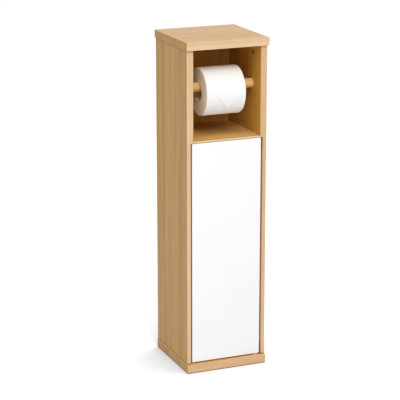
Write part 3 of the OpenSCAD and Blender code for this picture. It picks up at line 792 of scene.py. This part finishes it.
bpy.ops.object.select_all(action="DESELECT")
bpy.ops.mesh.primitive_grid_add(
    x_subdivisions=sheet_cuts, y_subdivisions=1, size=1, location=axis + Vector((0, 0, sheet_r))
)
sheet = bpy.context.object
sheet.name = "loose_sheet"
sheet.scale = (roll_w - 2 * rim_round, strip, 1)
bpy.ops.object.transform_apply(location=True, rotation=True, scale=True)
bpy.ops.object.mode_set(mode="EDIT")
pick(sheet, "EDGE", lambda edge: all(v.co.y > axis.y + strip / 4 for v in edge.verts))
bpy.ops.mesh.spin(steps=back_steps, angle=back_turn, center=axis, axis=(1, 0, 0))
pick(sheet, "EDGE", lambda edge: edge.is_boundary and all(
    abs(v.co.y - axis.y + strip / 2) < strip / 8 and v.co.z > axis.z for v in edge.verts))
bpy.ops.mesh.spin(steps=front_steps, angle=-front_turn, center=axis, axis=(1, 0, 0))
for side in (-1, 1):
    bpy.ops.mesh.select_all(action="SELECT")
    bpy.ops.mesh.bisect(
        plane_co=tip, plane_no=(side * math.sin(fold_slope), 0, -math.cos(fold_slope)), clear_outer=True,
    )
bpy.ops.mesh.select_all(action="SELECT")
bpy.ops.mesh.normals_make_consistent(inside=False)
mesh = bmesh.from_edit_mesh(sheet.data)
for v in mesh.verts:
    way = Vector((0.0, v.co.y - axis.y, v.co.z - axis.z)).normalized()
    if way.y < 0:
        off = v.co - tip
        from_tip = (tip_angle + math.asin(way.z)) * sheet_r
        from_fold = off.z * math.cos(fold_slope) - abs(off.x) * math.sin(fold_slope)
        puff = fold_puff * (1 - fold_calm * min(1.0, max(0.0, off.x / fold_width)))
        puff *= fading(from_tip, fold_length) * fading(from_fold, fold_width) ** 2
        v.co += way * (tip_lift * fading(from_tip, lift_length) ** 2 + puff)
bmesh.update_edit_mesh(sheet.data)
bpy.ops.object.mode_set(mode="OBJECT")
soften(sheet)
thicken = sheet.modifiers.new("thicken", "SOLIDIFY")
thicken.thickness = sheet_thick
thicken.offset = 0.0
bpy.ops.object.modifier_apply(modifier=thicken.name)
bpy.ops.object.shade_smooth_by_angle(angle=smooth_angle)

# The tissue: matt and white with fine dimples on the outside. Its ends show the layers as rings, and are
# tinted warm as painted bounce light from the wooden niche.
paper_white = (0.880, 0.873, 0.855, 1.0)
paper_end_painted_bounce = (0.970, 0.893, 0.740, 1.0)
paper_ring_painted_bounce = (0.895, 0.800, 0.655, 1.0)
paper_roughness = 0.95
paper_gloss = 0.1
paper_sheen = 0.15
paper_bump, paper_depth = 0.25, 0.0003
end_spread = (0.75, 0.95)
layer_scale, layer_detail, layer_spread = 2600.0, 3.0, (0.35, 0.70)
layer_share = 0.8
dimple_scale, dimple_jitter, dimple_spread = 330.0, 0.25, (0.15, 0.45)
dimple_rise = 0.6
tissue_stretch = (2500.0, 2500.0, 2500.0)
tissue_rise = 0.3

tissue, tree, surface, where = new_finish("tissue")
surface.inputs["Roughness"].default_value = paper_roughness
surface.inputs["Specular IOR Level"].default_value = paper_gloss
surface.inputs["Sheen Weight"].default_value = paper_sheen
place = patterned(tree, round_roll, where.outputs["Object"])
end_on = arithmetic(tree, "ABSOLUTE", along_way(tree, where.outputs["Normal"], rightward))
is_end = between(tree, end_on, *end_spread)
layers = tree.nodes.new("ShaderNodeTexNoise")
layers.noise_dimensions = "1D"
layers.inputs["Scale"].default_value = layer_scale
layers.inputs["Detail"].default_value = layer_detail
tree.links.new(place.outputs["Away"], layers.inputs["W"])
layer_tone = between(tree, layers.outputs["Fac"], *layer_spread)
unrolled = tree.nodes.new("ShaderNodeCombineXYZ")
tree.links.new(place.outputs["Along"], unrolled.inputs["X"])
tree.links.new(arithmetic(tree, "MULTIPLY", place.outputs["Angle"], roll_r), unrolled.inputs["Y"])
dots = tree.nodes.new("ShaderNodeTexVoronoi")
dots.inputs["Scale"].default_value = dimple_scale
dots.inputs["Randomness"].default_value = dimple_jitter
tree.links.new(unrolled.outputs[0], dots.inputs["Vector"])
dimples = between(tree, dots.outputs["Distance"], *dimple_spread)
fibres = stretched_noise(tree, where.outputs["Object"], tissue_stretch, detail=3.0, roughness=0.7)
layer_amount = arithmetic(tree, "MULTIPLY", layer_tone, layer_share)
end_colour_painted_bounce = blend_colour(tree, layer_amount, paper_end_painted_bounce, paper_ring_painted_bounce)
outside_height = arithmetic(
    tree, "ADD",
    arithmetic(tree, "MULTIPLY", dimples, dimple_rise),
    arithmetic(tree, "MULTIPLY", fibres, tissue_rise),
)
height = tree.nodes.new("ShaderNodeMix")
tree.links.new(is_end, height.inputs["Factor"])
tree.links.new(outside_height, height.inputs["A"])
tree.links.new(layer_tone, height.inputs["B"])
tree.links.new(blend_colour(tree, is_end, paper_white, end_colour_painted_bounce), surface.inputs["Base Color"])
raise_surface(tree, surface, height.outputs["Result"], paper_bump, paper_depth)
for piece in (wound, sheet):
    piece.data.materials.clear()
    piece.data.materials.append(tissue)
    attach(piece, "roll")
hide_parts("paper_roll")
